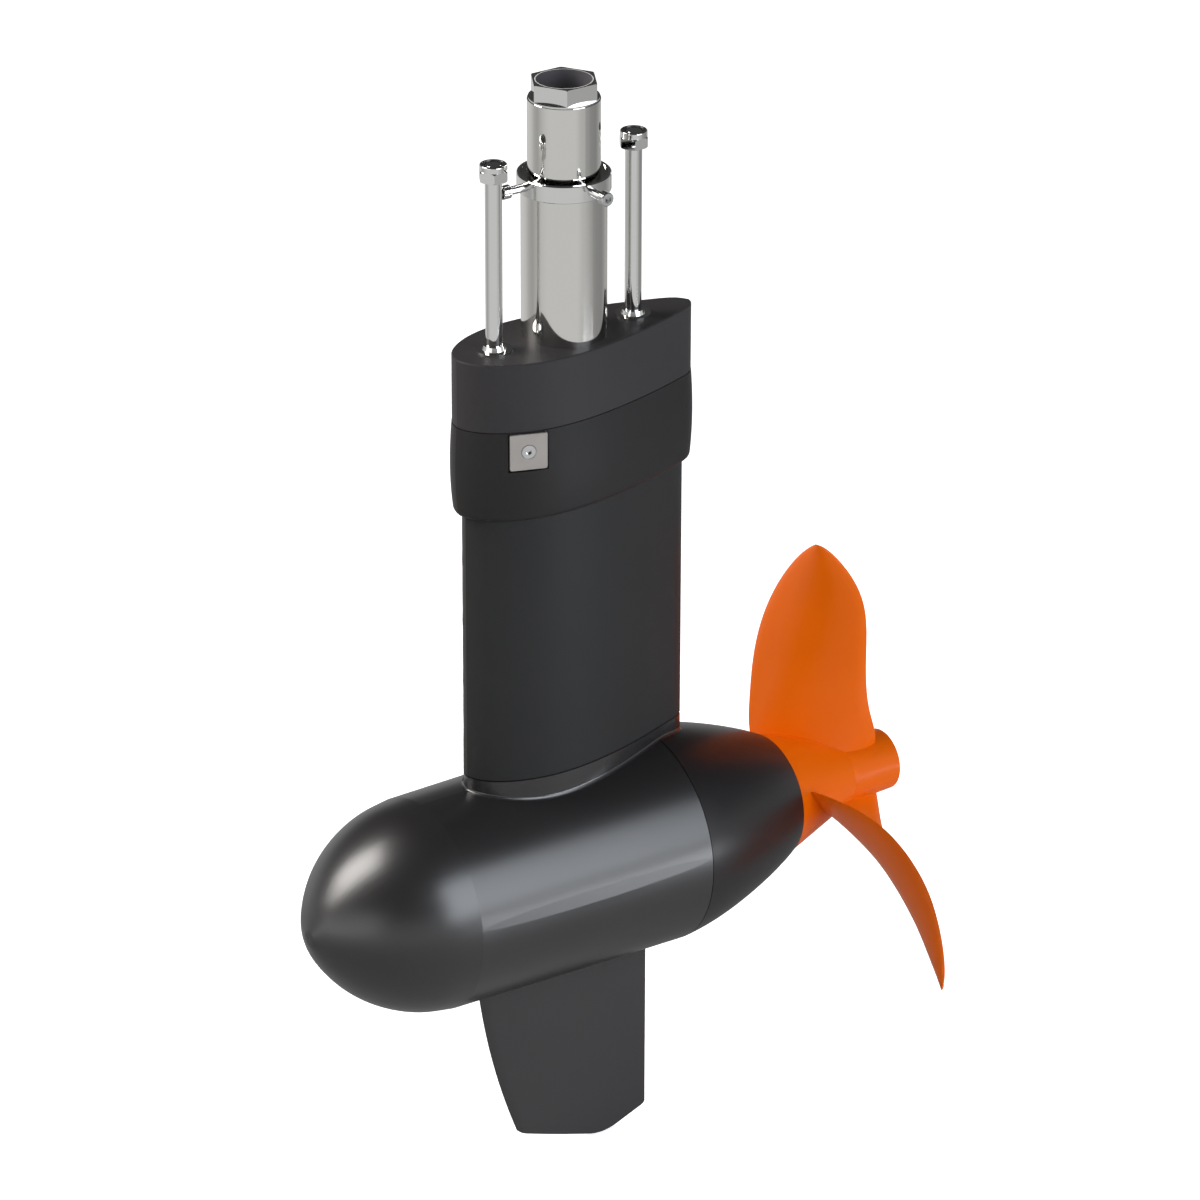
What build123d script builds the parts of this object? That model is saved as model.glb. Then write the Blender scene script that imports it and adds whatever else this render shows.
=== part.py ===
from build123d import *
import os
from math import atan2, cos, degrees, pi, sin, sqrt

os.makedirs("parts", exist_ok=True)

# Pod drive for a boat: an electric motor in a pod, hung under the hull on a faired strut.
# Millimetres. The origin is on the hull face, where the stem's axis crosses it.
# +Z points up into the boat, +Y aft to the propeller, +X to the side that the anode is on.

# Clearances
SLIP_GAP = 0.05         # round piece in its bore
PRESS_GAP = 0.01        # bearing race on its seat
STEM_GAP = 0.30         # cable tube inside the stem
RUNNING_GAP = 0.50      # propeller hub behind the tail cone
SEAM_GAP = 0.30         # gap round loose plates and between coils
SEAM_WIDTH = 0.6        # shadow groove where two castings meet
SEAM_DEPTH = 0.8
MARGIN = 1.0            # how far a cutting shape stands out past what it cuts

# Hull block, a foil shaped pad between the hull and the strut
BLOCK_HEIGHT = 50.4
BLOCK_NOSE_Y = -90.0
BLOCK_CHORD = 197.8
BLOCK_HALF_WIDTH = 39.2
BLOCK_EDGE = 0.8
# Shape of a foil's half width along its chord: root, slope, square, cube and end power
BLOCK_FOIL = (2.105, 0.678, -4.784, 2.446, 8.4)
STRUT_FOIL = (2.132, 0.620, -4.600, 2.018, 11.2)
FOIL_STEPS = 10

# Strut and its head
HEAD_HEIGHT = 67.3
HEAD_WALL = 5.0
# Down the head, how far its outline stands out from the block's: share of the height, offset
HEAD_PROFILE = ((0.0, 0.3), (0.4, 1.6), (0.84, 0.5), (1.0, -0.7))
HEAD_LIP = 5.0
STRUT_NOSE_Y = -83.4
STRUT_CHORD = 185.4
STRUT_HALF_WIDTH = 33.2
STRUT_WALL = 5.0
STRUT_END = 20.0
STRUT_LENGTH = 201.6
STRUT_INSERT = 30.0
GASKET = 1.2
GASKET_INSET = 0.8

# Stem, cable tube and collar
STEM_R = 30.0
STEM_HEIGHT = 113.9
CABLE_TUBE_R = 25.4
CABLE_TUBE_WALL = 3.0
CABLE_TUBE_RISE = 58.1
CABLE_TUBE_RELIEF = 0.6 # the tube is this much smaller below its ground land
CABLE_TUBE_LAND_GAP = 1.0  # from the collar up to the ground land
CABLE_TUBE_SEAT = 10.0
WIRE_HOLE_R = 18.0
HEX_BORE_R = 19.4
HEX_FLANGE = 1.5
HEX_FLANGE_INSET = 0.6
HEX_BARREL = 14.0
HEX_HEIGHT = 12.0
HEX_FLATS = 43.2
HEX_CHAMFER = 0.5
COLLAR_WALL = 2.75
COLLAR_RISE = 5.0
COLLAR_HEIGHT = 12.3
COLLAR_EDGE = 0.5
COLLAR_SCREW_DROP = 5.1
COLLAR_SCREW_R = 3.0
COLLAR_SCREW_HEAD_R = 4.9
COLLAR_SCREW_HEAD = 6.0
COLLAR_SCREW_REACH = 52.2
COLLAR_SCREW_ANGLES = (0.0, -90.0)

# Studs through the hull
STUD_R = 6.0
STUD_SPACING = 117.2
STUD_SHORT = 0.6
STUD_CHAMFER = 0.8
NUT_TOP = 136.6
NUT_HEX = 7.6
NUT_FLATS = 18.6
NUT_RING = 4.4
NUT_RING_R = 9.6
NUT_INSERT_R = 8.0
NUT_INSERT = 2.6
NUT_INSERT_SINK = 0.5
NUT_CHAMFER = 0.9
BUSH_FLANGE_R = 12.7
BUSH_FLANGE = 1.3
BUSH_COLLAR_R = 7.6
BUSH_COLLAR = 3.1
BUSH_BARREL_R = 8.5
BUSH_DEPTH = 20.0

# Sacrificial anode plate
ANODE_SIDE = 27.0
ANODE_THICK = 3.2
ANODE_CORNER = 1.6
ANODE_EDGE = 0.4
ANODE_FACE_X = 36.0
ANODE_FACE_Y = -54.6
ANODE_TURN = -19.9
ANODE_DROP = 0.6
ANODE_GAP = 1.0
ANODE_SCREW_R = 2.5
ANODE_SCREW_HEAD_R = 4.95
ANODE_SINK_GAP = 0.45   # ring of shadow round the screw's head
ANODE_SCREW_CONE = 2.6
ANODE_SCREW_LENGTH = 16.0
ANODE_SOCKET = 2.3
ANODE_SOCKET_DEPTH = 2.0

# Pod
PEDESTAL_RISE = 88.4
POD_BODY_FRONT = -123.0
POD_BODY_BACK = 74.3
POD_FRONT_R = 77.7
POD_BACK_R = 80.2
POD_BARREL = 0.16
POD_BORE_R = 72.0
NOSE_TIP = -219.3
NOSE_FULL_R = 78.35
NOSE_FULL_Y = -104.0
NOSE_POWER = 2.5
NOSE_ROOT = 1.37
NOSE_SHARES = (0.32, 0.48, 0.63, 0.76, 0.87, 0.945, 0.985)
NOSE_BLUNT = 0.6        # how much the very tip is rounded off
SPIGOT = 9.0
SPIGOT_WALL = 6.0
O_RING_R = 1.4
O_RING_GROOVE = 3.2
TAIL_END_Y = 180.7
TAIL_END_R = 46.7
TAIL_CURVE = ((100.0, 76.1), (125.0, 69.4), (150.0, 60.7), (166.0, 54.0))
SIDE_FLAT_TILT = 8.0
TAIL_LAND = 4.0

# Fin under the pod
FIN_THICK_ROOT = 10.5
FIN_THICK_TIP = 6.5
FIN_BACK_Y = 72.6
# Leading edge: drop below the pod's axis, place along it
FIN_STATIONS = ((50.0, -79.5), (95.0, -74.0), (145.0, -63.6), (190.0, -49.6), (240.0, -29.0))
FIN_LEAD_Y = -96.5
FIN_TIP_FRONT = (-43.2, 211.3)
FIN_TIP_LOW = (33.0, 235.2)
FIN_TIP_BACK = (73.6, 222.2)
FIN_CORNERS = (16.0, 42.0, 6.0)
FIN_BOLT_R = 2.5
FIN_BOLT_HEAD_R = 4.25
FIN_BOLT_HEAD = 4.0
FIN_BOLT_YS = (-40.0, 5.0)
FIN_BOLT_LENGTH = 24.0

# Propeller, a right handed three blade screw
BLADES = 3
BLADE_FIRST_ANGLE = 1.9
PROP_R = 193.4
HUB_FRONT_R = 46.2
HUB_WAIST_R = 24.5
HUB_BACK_R = 22.9
HUB_WAIST = 64.0
HUB_LENGTH = 106.5
BLADE_TIP_Y = 219.3
BLADE_ROOT_R = 22.0
PITCH_ROOT = 288.0
PITCH_TIP = 456.0
BLADE_CAMBER = 0.12
BLADE_STEPS = 8
BLADE_THICK_ROOT = 11.0
BLADE_THICK_TIP = 6.4
BLADE_TIP_POWER = 12
# Each station: share of the span, half chord, mid chord shift along the pitch, rake aft of the tip
BLADE_STATIONS = (
    (-0.03, 44.0, -23.6, 35.4),
    (0.00, 45.5, -23.4, 34.2),
    (0.18, 44.9, -24.6, 29.6),
    (0.36, 43.8, -27.2, 30.2),
    (0.54, 41.8, -23.4, 27.9),
    (0.70, 36.2, -16.2, 23.3),
    (0.84, 25.6, -8.6, 15.7),
    (0.94, 13.0, -3.3, 8.0),
    (0.985, 4.9, -0.6, 2.8),
    (0.998, 1.8, 0.0, 0.4),
)

# Shaft line
SHAFT_R = 15.0
SHAFT_FRONT_Y = -78.0
SHAFT_CHAMFER = 1.0
SHAFT_COLLAR_R = 19.0
SHAFT_COLLAR = 8.0
COLLAR_CLEAR = 2.0
PROP_SEAT_R = 12.5
PROP_SEAT_Y = 186.0
PROP_SEAT = 63.0
PROP_CLAMP_GAP = 1.0
PROP_THREAD_R = 9.0
PROP_THREAD = 22.0
THRUST_WASHER_R = 22.0
THRUST_WASHER = 4.0
DRIVE_PIN_R = 4.0
DRIVE_PIN_HALF = 21.0
HUB_MOUTH_R = 24.0
PROP_WASHER_R = 17.0
PROP_WASHER = 3.0
PROP_NUT_FLATS = 27.0
PROP_NUT = 13.0
HUB_RECESS_R = 18.0
HUB_CAP = 9.0
HUB_CAP_DOME = 2.5

# Bearings: outer radius, width and place, on the shaft's radius
FRONT_BEARING = (31.0, 16.0, -76.0)
REAR_BEARING = (36.0, 19.0, 110.0)
RACE_SHARE = 0.29
BALL_SHARE = 0.30
BALLS = 8
BALL_GAP = 0.30
CIRCLIP = 2.0
CIRCLIP_DEPTH = 4.0
CIRCLIP_BITE = 1.2
CIRCLIP_OPENING = 10.0
SEAL_R = 25.0
SEAL_WIDTH = 10.0
SEAL_INSET = 1.2
SEAL_LIP_GAP = 0.08
SEAL_LIP = 1.5

# Motor
CARRIER_Y = -84.0
CARRIER_FLANGE = 10.0
CARRIER_SPINDLE_R = 35.0
CARRIER_BORE_R = 20.0
CARRIER_END_Y = 40.0
CARRIER_SCREWS = 6
CARRIER_SCREW_PCR = 67.5
CARRIER_SCREW_R = 2.5
CARRIER_SCREW_HEAD_R = 3.6
CARRIER_SCREW_HEAD = 4.0
CARRIER_SCREW_LENGTH = 17.0
CARRIER_RIB_R = 63.0
CARRIER_RIB = 9.0
WIRE_NOTCH_R = 5.0
CORE_Y = -44.0
CORE_LENGTH = 80.0
CORE_YOKE_R = 42.0
CORE_R = 56.0
TEETH = 12
TOOTH_WIDTH = 11.0
SHOE_DEPTH = 3.0
SHOE_GAP = 4.0
COIL_WALL = 4.2
COIL_CORNER = 3.0
AIR_GAP = 1.0
MAGNETS = 14
MAGNET_THICK = 4.0
MAGNET_SHARE = 0.9
BELL_WALL = 5.0
BELL_OVERLAP = 4.0
BELL_PLATE_Y = 50.0
BELL_PLATE = 8.0
BELL_HUB_R = 24.0
BELL_HUB = 12.0
BELL_HOLES = 6
BELL_HOLE_R = 8.0
KEY_WIDTH = 8.0
KEY_HEIGHT = 6.0
SPACER_R = 18.0

# Controller in the nose
SINK_PLATE = 6.0
BOARD_R = 58.0
BOARD_THICK = 1.6
STANDOFF = 8.0
STANDOFF_R = 3.5
STANDOFF_PCR = 50.0
STANDOFFS = 4
CAPACITORS = 6
CAPACITOR_R = 8.0
CAPACITOR_LENGTH = 28.0
CAPACITOR_PCR = 34.0
CAPACITOR_EDGE = 0.5
MODULES = 3
MODULE_LENGTH = 26.0
MODULE_WIDTH = 18.0
MODULE_PCR = 28.0

# Screws between the pieces
ANCHOR_THICK = 30.0
SOCKET_DEPTH = 0.55
SOCKET_WIDTH = 0.95
SOCKET_BEVEL = 0.15
BOLT_R = 4.0
BOLT_HEAD_R = 6.5
BOLT_HEAD = 8.0
BOLT_SINK = 1.0
BOLT_GRIP = 14.0
STRUT_BOLT_YS = (-38.0, 38.0, 76.0)
POD_BOLT_HEAD = 5.0
POD_BOLT_YS = (-52.0, 48.0)

# Levels that follow from the sizes above
HEAD_TOP = -BLOCK_HEIGHT
HEAD_BOTTOM = HEAD_TOP - HEAD_HEIGHT
ANCHOR_BOTTOM = HEAD_TOP - ANCHOR_THICK
STRUT_TOP = HEAD_BOTTOM + STRUT_INSERT
PEDESTAL_TOP = HEAD_BOTTOM - STRUT_LENGTH
STRUT_BOTTOM = PEDESTAL_TOP + GASKET
TUBE_BOTTOM = PEDESTAL_TOP - CABLE_TUBE_SEAT
TUBE_IN_R = CABLE_TUBE_R - CABLE_TUBE_WALL
TUBE_LOW_R = CABLE_TUBE_R - CABLE_TUBE_RELIEF
CABLE_TUBE_TOP = STEM_HEIGHT + CABLE_TUBE_RISE
COLLAR_TOP = STEM_HEIGHT + COLLAR_RISE
COLLAR_SCREW_Z = COLLAR_TOP - COLLAR_SCREW_DROP
LAND_BOTTOM = COLLAR_TOP + CABLE_TUBE_LAND_GAP
HEX_BOTTOM = CABLE_TUBE_TOP + HEX_FLANGE
BOLT_SEAT_Z = HEAD_TOP - BOLT_SINK - BOLT_HEAD
POD_DROP = BLOCK_HEIGHT + HEAD_HEIGHT + STRUT_LENGTH + PEDESTAL_RISE
AXIS_Z = -POD_DROP
SIDE_SLAB = POD_BACK_R
FIN_SEAT_Z = AXIS_Z - POD_BORE_R - BOLT_SINK
PLUG_R = POD_BORE_R - SLIP_GAP
PLUG_IN_R = POD_BORE_R - SPIGOT_WALL
NOSE_PLUG_Y = POD_BODY_FRONT + SPIGOT
TAIL_PLUG_Y = POD_BODY_BACK - SPIGOT
HUB_FRONT_Y = TAIL_END_Y + RUNNING_GAP
HUB_END_Y = HUB_FRONT_Y + HUB_LENGTH
HUB_WAIST_Y = HUB_FRONT_Y + HUB_WAIST
HUB_FLOOR_Y = PROP_SEAT_Y + THRUST_WASHER
PIN_Y = HUB_FLOOR_Y + SEAM_GAP + DRIVE_PIN_R
HUB_RECESS_Y = PROP_SEAT_Y + PROP_SEAT + PROP_CLAMP_GAP
ANODE_Z = HEAD_TOP - ANODE_DROP - ANODE_SIDE / 2
MAGNET_IN_R = CORE_R + AIR_GAP
MAGNET_OUT_R = MAGNET_IN_R + MAGNET_THICK
BELL_R = MAGNET_OUT_R + BELL_WALL
BELL_HUB_Y = BELL_PLATE_Y + BELL_PLATE + BELL_HUB
KEY_Y = (BELL_PLATE_Y + BELL_HUB_Y) / 2
KEY_LENGTH = BELL_HUB_Y - BELL_PLATE_Y
CORE_END_Y = CORE_Y + CORE_LENGTH
RIB_Y = CARRIER_Y + CARRIER_FLANGE
RIB_END_Y = RIB_Y + CARRIER_RIB
SEAL_Y = TAIL_END_Y - SEAL_INSET - SEAL_WIDTH
BOARD_Y = NOSE_PLUG_Y - STANDOFF


def save(shape, node):
    """Writes one named piece."""
    export_step(shape, f"parts/{node}.step")


def post(radius, low, high, x=0.0, y=0.0):
    """An upright cylinder between two levels."""
    return Pos(x, y, (low + high) / 2) * Cylinder(radius, high - low)


def axle(radius, front, back):
    """A cylinder on the pod's axis between two places along it."""
    return Pos(0, (front + back) / 2, AXIS_Z) * Rot(90, 0, 0) * Cylinder(radius, back - front)


def ring(outer, inner, front, back):
    """A ring on the pod's axis."""
    return axle(outer, front, back) - axle(inner, front - MARGIN, back + MARGIN)


def about_axis(shape, angle):
    """Turns a shape about the pod's axis, from +Z towards +X."""
    return Pos(0, 0, AXIS_Z) * Rot(0, angle, 0) * Pos(0, 0, -AXIS_Z) * shape


def spun(outline):
    """Revolves a half outline of (y, radius) edges about the pod's axis."""
    face = Plane((0, 0, AXIS_Z), x_dir=(0, 1, 0), z_dir=(1, 0, 0)) * make_face(outline)
    return revolve(face, Axis((0, 0, AXIS_Z), (0, 1, 0)))


def foil_half(share, shape):
    """Half width of a foil at a share of its chord, as a share of the widest place."""
    root, slope, square, cube, end = shape
    body = root * sqrt(share) + slope * share + square * share**2 + cube * share**3
    return body * sqrt(max(0.0, 1 - share**end))


def foil(nose_y, chord, half_width, shape, z, grow=0.0):
    """A closed foil outline at one level, grown outwards all round."""
    front = nose_y - grow
    length = chord + 2 * grow
    points = []
    for step in range(FOIL_STEPS + 1):
        share = (1 - cos(pi * step / FOIL_STEPS)) / 2
        points.append(((half_width + grow) * foil_half(share, shape), front + length * share, z))
    right = Spline(*points)
    return make_face(right + mirror(right, Plane.YZ))


def block_foil(z, grow=0.0):
    return foil(BLOCK_NOSE_Y, BLOCK_CHORD, BLOCK_HALF_WIDTH, BLOCK_FOIL, z, grow)


def strut_foil(z, grow=0.0):
    return foil(STRUT_NOSE_Y, STRUT_CHORD, STRUT_HALF_WIDTH, STRUT_FOIL, z, grow)


def raised(face, height):
    """Extrudes a level face straight up."""
    return extrude(face, height, dir=(0, 0, 1))


def at_studs(shape):
    """The same piece at the front and the rear stud."""
    half = STUD_SPACING / 2
    return [Pos(0, -half, 0) * shape, Pos(0, half, 0) * shape]


def hexagon(flats, low, high):
    """An upright hexagonal prism with two corners on the Y axis."""
    face = RegularPolygon(flats / sqrt(3), 6, rotation=30)
    return extrude(Pos(0, 0, low) * face, high - low)


def top_edges(solid):
    return solid.faces().sort_by(Axis.Z)[-1].edges()


def socket_bolt(radius, head_radius, head, length):
    """Socket head bolt with the underside of its head on Z = 0 and its shank below."""
    cap = post(head_radius, 0, head)
    cap = chamfer(top_edges(cap), SOCKET_BEVEL * radius)
    socket = extrude(RegularPolygon(radius * SOCKET_WIDTH, 6), head)
    return cap + post(radius, -length, 0) - Pos(0, 0, head * (1 - SOCKET_DEPTH)) * socket


def sideways(shape):
    """Turns an upright piece so that its top points to +X."""
    return Rot(0, 90, 0) * shape


def forwards(shape):
    """Turns an upright piece so that its top points to the nose."""
    return Rot(90, 0, 0) * shape


# Hull block: cast pad with holes for the stem and both studs
def hull_block():
    solid = raised(block_foil(HEAD_TOP + SEAM_WIDTH), BLOCK_HEIGHT - SEAM_WIDTH - BLOCK_EDGE)
    solid += raised(block_foil(HEAD_TOP, -SEAM_DEPTH), SEAM_WIDTH)
    solid += loft([block_foil(-BLOCK_EDGE), block_foil(0, -BLOCK_EDGE)])
    solid -= post(STEM_R + SLIP_GAP, HEAD_TOP - MARGIN, MARGIN)
    for hole in at_studs(post(STUD_R + SLIP_GAP, HEAD_TOP - MARGIN, MARGIN)):
        solid -= hole
    for seat in at_studs(post(BUSH_BARREL_R + SLIP_GAP, -BUSH_DEPTH, MARGIN)):
        solid -= seat
    return solid


# Stem: outer tube that passes through the hull, notched for the collar's screws
def stem_tube():
    solid = post(STEM_R, ANCHOR_BOTTOM, STEM_HEIGHT)
    solid -= post(TUBE_LOW_R + STEM_GAP, ANCHOR_BOTTOM - MARGIN, STEM_HEIGHT + MARGIN)
    for angle in COLLAR_SCREW_ANGLES:
        solid -= collar_screw_hole(angle)
    return solid


def collar_screw_hole(angle):
    reach = COLLAR_SCREW_REACH - TUBE_LOW_R + MARGIN
    hole = sideways(post(COLLAR_SCREW_R + SLIP_GAP, 0, reach))
    return Pos(0, 0, COLLAR_SCREW_Z) * Rot(0, 0, angle) * Pos(TUBE_LOW_R - MARGIN, 0, 0) * hole


# Cable tube: inner tube from the pod up to the hexagon, with a ground land above the collar
def cable_tube():
    solid = post(TUBE_LOW_R, TUBE_BOTTOM, LAND_BOTTOM) + post(CABLE_TUBE_R, LAND_BOTTOM, CABLE_TUBE_TOP)
    return solid - post(TUBE_IN_R, TUBE_BOTTOM - MARGIN, CABLE_TUBE_TOP + MARGIN)


# Hexagon bush: screwed into the cable tube's end, with a flange and six flats
def hex_bush():
    solid = post(TUBE_IN_R - SLIP_GAP, CABLE_TUBE_TOP - HEX_BARREL, CABLE_TUBE_TOP)
    solid += post(CABLE_TUBE_R - HEX_FLANGE_INSET, CABLE_TUBE_TOP, HEX_BOTTOM)
    prism = hexagon(HEX_FLATS, HEX_BOTTOM, HEX_BOTTOM + HEX_HEIGHT)
    blank = post(HEX_FLATS / sqrt(3), HEX_BOTTOM, HEX_BOTTOM + HEX_HEIGHT)
    solid += prism & chamfer(top_edges(blank), HEX_CHAMFER)
    bore = post(HEX_BORE_R, CABLE_TUBE_TOP - HEX_BARREL - MARGIN, HEX_BOTTOM + HEX_HEIGHT + MARGIN)
    return solid - bore


# Collar: ring round the stem's end, with two radial screws onto the cable tube
def clamp_collar():
    low = COLLAR_TOP - COLLAR_HEIGHT
    solid = post(STEM_R + COLLAR_WALL, low, COLLAR_TOP)
    solid = chamfer(solid.edges().filter_by(GeomType.CIRCLE), COLLAR_EDGE)
    solid -= post(STEM_R + SLIP_GAP, low - MARGIN, COLLAR_TOP + MARGIN)
    for angle in COLLAR_SCREW_ANGLES:
        solid -= collar_screw_hole(angle)
    return solid


def collar_screws():
    neck = COLLAR_SCREW_REACH - COLLAR_SCREW_HEAD
    length = neck - TUBE_LOW_R - SLIP_GAP
    screw = socket_bolt(COLLAR_SCREW_R, COLLAR_SCREW_HEAD_R, COLLAR_SCREW_HEAD, length)
    screw = Pos(neck, 0, 0) * sideways(screw)
    return [Pos(0, 0, COLLAR_SCREW_Z) * Rot(0, 0, angle) * screw for angle in COLLAR_SCREW_ANGLES]


# Studs with their lock nuts, and the flanged bushes that they pass through
def hull_stud():
    solid = post(STUD_R, ANCHOR_BOTTOM, NUT_TOP - STUD_SHORT)
    return chamfer(top_edges(solid), STUD_CHAMFER)


def stud_nut():
    bottom = NUT_TOP - NUT_RING - NUT_HEX
    barrel = post(NUT_FLATS / sqrt(3), bottom, NUT_TOP - NUT_RING)
    barrel = chamfer(barrel.edges().filter_by(GeomType.CIRCLE), NUT_CHAMFER)
    solid = hexagon(NUT_FLATS, bottom, NUT_TOP - NUT_RING) & barrel
    collar = post(NUT_RING_R, NUT_TOP - NUT_RING, NUT_TOP)
    solid += fillet(top_edges(collar), NUT_CHAMFER)
    solid -= post(STUD_R + SLIP_GAP, bottom - MARGIN, NUT_TOP + MARGIN)
    return solid - post(NUT_INSERT_R, NUT_TOP - NUT_INSERT, NUT_TOP + MARGIN)


def nut_insert():
    solid = post(NUT_INSERT_R - SLIP_GAP, NUT_TOP - NUT_INSERT, NUT_TOP - NUT_INSERT_SINK)
    return solid - post(STUD_R + SLIP_GAP, NUT_TOP - NUT_INSERT - MARGIN, NUT_TOP + MARGIN)


def stud_bush():
    solid = post(BUSH_BARREL_R, -BUSH_DEPTH, 0) + post(BUSH_FLANGE_R, 0, BUSH_FLANGE)
    flare = Cone(BUSH_BARREL_R, BUSH_COLLAR_R, BUSH_COLLAR)
    solid += Pos(0, 0, BUSH_FLANGE + BUSH_COLLAR / 2) * flare
    return solid - post(STUD_R + SLIP_GAP, -BUSH_DEPTH - MARGIN, BUSH_FLANGE + BUSH_COLLAR + MARGIN)


# Strut head: bulged cover over the strut's upper end, with a pocket for the anode
def strut_head():
    levels = [(HEAD_TOP - share * HEAD_HEIGHT, offset) for share, offset in HEAD_PROFILE]
    solid = loft([block_foil(z, offset) for z, offset in levels])
    solid = fillet(solid.faces().sort_by(Axis.Z)[0].edges(), HEAD_LIP)
    solid -= raised(block_foil(ANCHOR_BOTTOM, -HEAD_WALL), ANCHOR_THICK + MARGIN)
    solid -= raised(strut_foil(HEAD_BOTTOM - MARGIN, SLIP_GAP), STRUT_INSERT + MARGIN)
    solid -= post(TUBE_LOW_R + SLIP_GAP, STRUT_TOP - MARGIN, ANCHOR_BOTTOM + MARGIN)
    for y in STRUT_BOLT_YS:
        solid -= post(BOLT_R + SLIP_GAP, STRUT_TOP - MARGIN, ANCHOR_BOTTOM + MARGIN, y=y)
    side = ANODE_SIDE + 2 * ANODE_GAP
    solid -= on_head(Box(2 * ANODE_THICK, side, side))
    return solid - on_head(anode_screw_hole())


def on_head(shape):
    """Puts a piece drawn with its outer face on X = 0 against the head's side."""
    return Pos(ANODE_FACE_X, ANODE_FACE_Y, ANODE_Z) * Rot(0, 0, ANODE_TURN) * shape


def anode_screw_hole():
    return sideways(post(ANODE_SCREW_R + SLIP_GAP, -ANODE_SCREW_LENGTH - MARGIN, ANODE_THICK))


# Anode: small square plate in the head's pocket, held by one countersunk screw
def anode_plate():
    blank = Box(ANODE_THICK, ANODE_SIDE, ANODE_SIDE)
    blank = fillet(blank.edges().filter_by(Axis.X), ANODE_CORNER)
    blank = chamfer(blank.faces().sort_by(Axis.X)[-1].edges(), ANODE_EDGE)
    plate = Pos(-ANODE_THICK / 2, 0, 0) * blank
    plate -= anode_screw_hole()
    sink = Cone(ANODE_SCREW_R, ANODE_SCREW_HEAD_R + ANODE_SINK_GAP, ANODE_SCREW_CONE)
    return on_head(plate - sideways(Pos(0, 0, -ANODE_SCREW_CONE / 2) * sink))


def anode_screw():
    head = Cone(ANODE_SCREW_R, ANODE_SCREW_HEAD_R, ANODE_SCREW_CONE)
    solid = Pos(0, 0, -ANODE_SCREW_CONE / 2) * head
    solid += post(ANODE_SCREW_R, -ANODE_SCREW_LENGTH, -ANODE_SCREW_CONE)
    socket = extrude(RegularPolygon(ANODE_SOCKET, 6), ANODE_SCREW_CONE)
    return on_head(sideways(solid - Pos(0, 0, -ANODE_SOCKET_DEPTH) * socket))


# Anchor plate: the block inside the head that holds the stem, the studs and the strut's bolts
def anchor_plate():
    solid = raised(block_foil(ANCHOR_BOTTOM, -HEAD_WALL - SLIP_GAP), ANCHOR_THICK)
    solid -= post(STEM_R + SLIP_GAP, ANCHOR_BOTTOM - MARGIN, HEAD_TOP + MARGIN)
    for hole in at_studs(post(STUD_R + SLIP_GAP, ANCHOR_BOTTOM - MARGIN, HEAD_TOP + MARGIN)):
        solid -= hole
    for y in STRUT_BOLT_YS:
        solid -= post(BOLT_R + SLIP_GAP, ANCHOR_BOTTOM - MARGIN, HEAD_TOP, y=y)
        solid -= post(BOLT_HEAD_R + SEAM_GAP, BOLT_SEAT_Z, HEAD_TOP + MARGIN, y=y)
    return solid - on_head(anode_screw_hole())


def strut_bolts():
    bolt = socket_bolt(BOLT_R, BOLT_HEAD_R, BOLT_HEAD, BOLT_SEAT_Z - STRUT_TOP + BOLT_GRIP)
    return [Pos(0, y, BOLT_SEAT_Z) * bolt for y in STRUT_BOLT_YS]


# Strut: hollow foil with solid ends that take the bolts
def strut():
    solid = raised(strut_foil(STRUT_BOTTOM), STRUT_TOP - STRUT_BOTTOM)
    inside = STRUT_TOP - STRUT_BOTTOM - 2 * STRUT_END
    solid -= raised(strut_foil(STRUT_BOTTOM + STRUT_END, -STRUT_WALL), inside)
    solid -= post(TUBE_LOW_R + SLIP_GAP, STRUT_BOTTOM - MARGIN, STRUT_TOP + MARGIN)
    for y in STRUT_BOLT_YS:
        solid -= post(BOLT_R + SLIP_GAP, STRUT_TOP - STRUT_END - MARGIN, STRUT_TOP + MARGIN, y=y)
    for y in POD_BOLT_YS:
        solid -= post(BOLT_R + SLIP_GAP, STRUT_BOTTOM - MARGIN, STRUT_BOTTOM + STRUT_END + MARGIN, y=y)
    return solid


# Gasket in the seam between the strut and the pod
def strut_gasket():
    solid = raised(strut_foil(PEDESTAL_TOP, -GASKET_INSET), GASKET)
    solid -= post(TUBE_LOW_R + SLIP_GAP, PEDESTAL_TOP - MARGIN, STRUT_BOTTOM + MARGIN)
    for y in POD_BOLT_YS:
        solid -= post(BOLT_R + SLIP_GAP, PEDESTAL_TOP - MARGIN, STRUT_BOTTOM + MARGIN, y=y)
    return solid


# Pod body: barrel with the strut's pedestal on top and a long flat on each side
def barrel(grow=0.0):
    """The body's round outer form, closed at its ends."""
    middle = (POD_BODY_FRONT + POD_BODY_BACK) / 2
    mean_r = (POD_FRONT_R + POD_BACK_R) / 2 + POD_BARREL
    front_r = POD_FRONT_R + grow
    back_r = POD_BACK_R + grow
    side = ThreePointArc((POD_BODY_FRONT, front_r), (middle, mean_r + grow), (POD_BODY_BACK, back_r))
    ends = Polyline(
        (POD_BODY_BACK, back_r), (POD_BODY_BACK, 0), (POD_BODY_FRONT, 0), (POD_BODY_FRONT, front_r),
    )
    return spun(side + ends)


def side_flat(hand):
    """A slab whose inner face cuts a shallow flat along one side of the barrel."""
    length = POD_BODY_BACK - POD_BODY_FRONT
    mean_r = (POD_FRONT_R + POD_BACK_R) / 2
    slope = degrees(atan2(POD_BACK_R - POD_FRONT_R, length))
    slab = Pos(hand * (mean_r + SIDE_SLAB / 2), 0, 0) * Box(SIDE_SLAB, 2 * length, SIDE_SLAB)
    slab = Rot(0, -hand * SIDE_FLAT_TILT, 0) * Rot(0, 0, -hand * slope) * slab
    return Pos(0, (POD_BODY_FRONT + POD_BODY_BACK) / 2, AXIS_Z) * slab


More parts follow.
